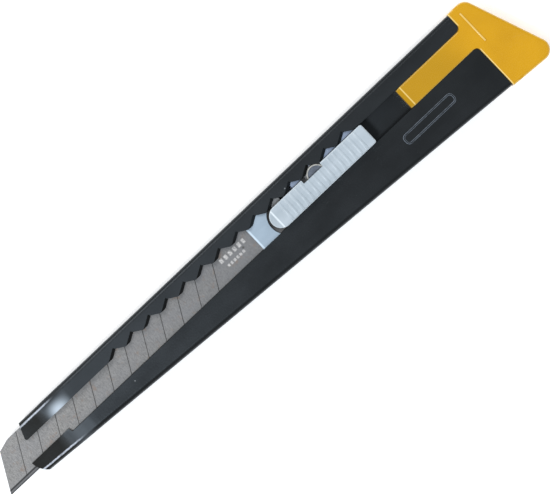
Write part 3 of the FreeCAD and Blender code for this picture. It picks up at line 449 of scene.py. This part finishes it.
def stud_steel():
    """Bright turned rim around a dark oxidised dish with turning rings."""
    t = Tree("stud_steel")
    along = t.math("SUBTRACT", t.axis("X"), STUD_X / MM)
    across = t.math("SUBTRACT", t.axis("Y"), STUD_Y / MM)
    square = t.math("ADD", t.math("MULTIPLY", across, across), t.math("MULTIPLY", along, along))
    radius = t.math("SQRT", square)
    rings = t.math("SINE", t.math("MULTIPLY", radius, 26.0))
    stain = t.noise(t.stretched((1.2, 1.2, 1.2)), 1.0, 4.0, 0.6)
    dish = t.remap(radius, (DISH_RADIUS, DISH_RADIUS + 0.06), (1.0, 0.0))
    dark = t.mix(t.remap(stain, (0.35, 0.65), (0, 1)), (0.078, 0.089, 0.112), (0.130, 0.148, 0.180))
    bright = t.mix(t.remap(stain, (0.4, 0.7), (0, 1)), (0.55, 0.54, 0.49), (0.36, 0.35, 0.32))
    surface = t.bump(rings, 0.15, 0.008)
    t.set(Base_Color=t.mix(dish, bright, dark), Normal=surface, Metallic=0.6)
    t.set(Roughness=t.remap(dish, (0, 1), (0.28, 0.45)))
    return t.material


def floor_paper():
    """Plain pale studio floor."""
    t = Tree("floor_paper")
    fibre = t.noise(t.stretched((0.6, 0.6, 0.6)), 1.0, 3.0)
    t.set(Base_Color=t.mix(fibre, (0.93, 0.93, 0.93), (0.96, 0.96, 0.96)), Roughness=0.9)
    t.set(Emission_Color=(1.0, 1.0, 1.0, 1.0), Emission_Strength=0.35)
    return t.material


# ---------------------------------------------------------------- CAD nodes: finish and edges
def finish_node(name, material, edge_mm=0.0, angle=30.0):
    """Give a CAD node its finish, and round its crisp edges by a few hundredths of a millimetre."""
    piece = nodes[name]
    piece.data.materials.clear()
    piece.data.materials.append(material)
    if edge_mm:
        weld = piece.modifiers.new("weld", "WELD")
        weld.merge_threshold = 1e-6
        bevel = piece.modifiers.new("edges", "BEVEL")
        bevel.width = edge_mm * MM
        bevel.segments = 2
        bevel.limit_method = "ANGLE"
        bevel.angle_limit = math.radians(angle)
        bevel.harden_normals = True
        bevel.use_clamp_overlap = True


steel_plate = pressed_steel("plate_steel", (0.12, 0.12, 0.12), (0.21, 0.21, 0.21), 0.40)
steel_spring = pressed_steel("spring_steel", (0.16, 0.17, 0.21), (0.30, 0.31, 0.36), 0.3)
# the X range of a painted highlight line across the button's crest
crest = button_low.x + 1.5 * MM
button_plastic = slider_plastic("slider_plastic", (1.0, 1.0, 1.0), (crest - 0.12 * MM, crest + 0.12 * MM))
# the X range of a painted highlight line along the holder's front edge
holder_edge = (holder_low.x - MM, holder_low.x + 0.35 * MM)
# the holder's plastic is darkened as painted shade, with more painted shade on its arms
holder_plastic = slider_plastic("holder_plastic", (0.80, 0.88, 0.96), holder_edge, 0.78)

finish_node("sheath", black_paint())
finish_node("snap_off_blade", blade_steel())
finish_node("blade_holder", holder_plastic, 0.08)
finish_node("thumb_button", button_plastic, 0.08, 40.0)
finish_node("end_cap", yellow_plastic(), 0.14, 25.0)
finish_node("keeper_plate", steel_plate, 0.05)
finish_node("keeper_rivets", steel_plate)
finish_node("lock_stud", stud_steel(), 0.06)
finish_node("leaf_spring", steel_spring)


# ---------------------------------------------------------------- leaf spring
def strip_outline(half_length, half_width, waist):
    """Half of the flat strip's outline points, as (along, across): wide at its feet, slim at its middle."""
    points = []
    for step in range(OUTLINE_STEPS + 1):
        along = -half_length + 2 * half_length * step / OUTLINE_STEPS
        slim = 1.0 - waist * math.cos(math.pi * along / (2 * half_length)) ** 2
        points.append((along, half_width * slim))
    return points


def make_spring():
    """Bowed strip with a slim waist, a hole for the stud's shank and rolled feet on the floor."""
    centre_x = (spring_low.x + spring_high.x) / 2
    centre_y = (spring_low.y + spring_high.y) / 2
    thick = SPRING_THICKNESS
    roll = FOOT_RADIUS
    foot_out = roll + thick / 2
    half_span = (spring_high.x - spring_low.x) / 2 - foot_out
    crown = spring_high.z - thick / 2
    rise = crown - (spring_low.z + thick / 2)
    radius = half_span**2 / (2 * rise) + rise / 2
    swing = math.asin(half_span / radius)
    arch_length = radius * swing
    half_length = arch_length + roll * FOOT_ROLL
    half_width = (spring_high.y - spring_low.y) / 2

    upper = strip_outline(half_length, half_width, SPRING_WAIST)
    ring = upper + [(along, -across) for along, across in reversed(upper)]
    hole_y = STUD_Y - centre_y
    hole = []
    for step in range(HOLE_STEPS):
        angle = 2 * math.pi * step / HOLE_STEPS
        hole.append((HOLE_RADIUS * math.cos(angle), hole_y + HOLE_RADIUS * math.sin(angle)))
    inside = []
    for along, across in upper[1:-1]:
        for share in (-0.75, -0.5, -0.25, 0.0, 0.25, 0.5, 0.75):
            y = across * share
            if math.hypot(along, y - hole_y) > HOLE_RADIUS * HOLE_MARGIN:
                inside.append((along, y))
    points = [Vector(p) for p in ring + hole + inside]
    loops = [list(range(len(ring))), list(range(len(ring), len(ring) + len(hole)))]
    edges = [(loop[k], loop[(k + 1) % len(loop)]) for loop in loops for k in range(len(loop))]
    flat = delaunay_2d_cdt(points, edges, [], 2, 1e-8)
    bm = bmesh.new()
    corners = [bm.verts.new((p.x, p.y, -thick / 2)) for p in flat[0]]
    for face in flat[2]:
        bm.faces.new([corners[k] for k in face])
    made = bmesh.ops.extrude_face_region(bm, geom=bm.faces[:])
    for item in made["geom"]:
        if isinstance(item, bmesh.types.BMVert):
            item.co.z = thick / 2
    bmesh.ops.recalc_face_normals(bm, faces=bm.faces[:])
    for vert in bm.verts:
        along, across, height = vert.co
        side = math.copysign(1.0, along)
        reach = abs(along)
        angle = min(reach / radius, swing)
        x = math.sin(angle) * (radius + height)
        z = crown - radius + math.cos(angle) * (radius + height)
        if reach > arch_length:
            turn = swing - (reach - arch_length) / roll
            hub_x = math.sin(swing) * (radius + roll)
            hub_z = crown - radius + math.cos(swing) * (radius + roll)
            x = hub_x - math.sin(turn) * (roll - height)
            z = hub_z - math.cos(turn) * (roll - height)
        vert.co = (centre_x + side * x, centre_y + across, z)
    mesh = bpy.data.meshes.new("spring_strip")
    bm.to_mesh(mesh)
    bm.free()
    mesh.materials.append(steel_spring)
    strip = bpy.data.objects.new("spring_strip", mesh)
    bpy.context.scene.collection.objects.link(strip)
    strip.data.set_sharp_from_angle(angle=math.radians(35))
    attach(strip, "carrier")
    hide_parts("leaf_spring")
    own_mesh(strip)


make_spring()


# ---------------------------------------------------------------- stage, light and camera
TURN = math.radians(43.55)
VIEW_MIDDLE = Vector((whole_middle.x + 2.5 * MM, whole_middle.y + 0.01 * MM, sheath_high.z))
VIEW_WIDTH = 113.64 * MM
SENSOR = 36.0
CAMERA_HEIGHT = 0.75


def image_direction(right, up):
    """World direction of a point in the picture plane, right and up as the camera sees them."""
    return Vector(
        (
            right * math.cos(TURN) + up * math.sin(TURN),
            -right * math.sin(TURN) + up * math.cos(TURN),
            0.0,
        )
    )


def add_camera():
    data = bpy.data.cameras.new("camera")
    data.sensor_width = SENSOR
    data.sensor_fit = "HORIZONTAL"
    data.lens = SENSOR * CAMERA_HEIGHT / VIEW_WIDTH
    data.clip_start = 0.01
    data.clip_end = 20.0
    camera = bpy.data.objects.new("camera", data)
    camera.location = VIEW_MIDDLE + Vector((0, 0, CAMERA_HEIGHT))
    camera.rotation_euler = (0, 0, -TURN)
    bpy.context.scene.collection.objects.link(camera)
    bpy.context.scene.camera = camera


def add_floor():
    size = 3.0
    mesh = bpy.data.meshes.new("floor")
    corners = [(-size, -size, 0), (size, -size, 0), (size, size, 0), (-size, size, 0)]
    mesh.from_pydata(corners, [], [(0, 1, 2, 3)])
    floor = bpy.data.objects.new("floor", mesh)
    floor.data.materials.append(floor_paper())
    bpy.context.scene.collection.objects.link(floor)


def add_softbox(name, right, up, height, size, power, colour=(1, 1, 1)):
    """Square soft light aimed at the knife, placed by where the camera sees it."""
    data = bpy.data.lights.new(name, "AREA")
    data.shape = "SQUARE"
    data.size = size
    data.energy = power
    data.color = colour
    light = bpy.data.objects.new(name, data)
    place = VIEW_MIDDLE + image_direction(right, up) + Vector((0, 0, height))
    light.location = place
    light.rotation_euler = (VIEW_MIDDLE - place).to_track_quat("-Z", "Y").to_euler()
    bpy.context.scene.collection.objects.link(light)


def add_world():
    world = bpy.data.worlds.new("studio")
    world.use_nodes = True
    background = world.node_tree.nodes["Background"]
    background.inputs["Color"].default_value = (0.93, 0.96, 1.0, 1.0)
    background.inputs["Strength"].default_value = 0.42
    bpy.context.scene.world = world


add_camera()
add_floor()
add_world()
add_softbox("key_front", -0.24, -0.50, 1.6, 0.22, 12.5, (0.88, 0.94, 1.0))
add_softbox("side_left", -1.0, 0.45, 1.3, 0.8, 12.0)
add_softbox("fill_right", 1.1, 0.2, 1.0, 0.8, 3.0)
bpy.context.scene.view_settings.view_transform = "Standard"
bpy.context.scene.view_settings.look = "None"
